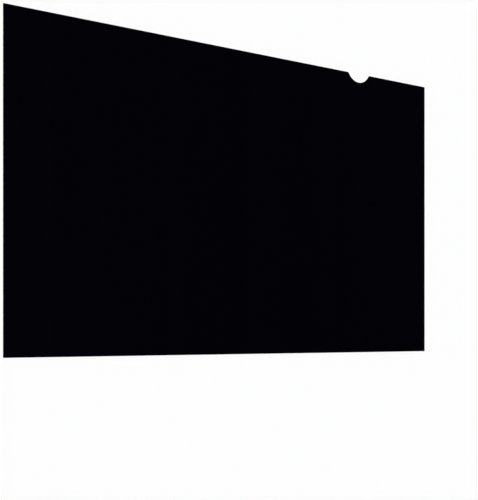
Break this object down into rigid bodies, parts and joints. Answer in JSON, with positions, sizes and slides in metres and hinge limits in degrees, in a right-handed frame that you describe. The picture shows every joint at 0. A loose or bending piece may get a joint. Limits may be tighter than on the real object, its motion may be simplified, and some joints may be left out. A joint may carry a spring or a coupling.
{
  "type": "monitor privacy filter",
  "caption": "Flat frameless sheet of black louvre film, cut to a widescreen display, with a crescent finger notch in its top edge, that hides the screen from the side.",
  "frame": {"origin": "middle of the back face, on which the sheet lies", "axes": "+X along the width to the viewer's right, +Y up the screen towards the notched edge, +Z out of the front face"},
  "size_m": [0.531, 0.299, 0.0005],
  "materials": {
    "louvre_film": "satin anti-glare front, smoother back, near-black louvre film between clear cover films"
  },
  "bodies": {
    "root": {"filter_sheet": "louvre_film"}
  },
  "joints": []
}
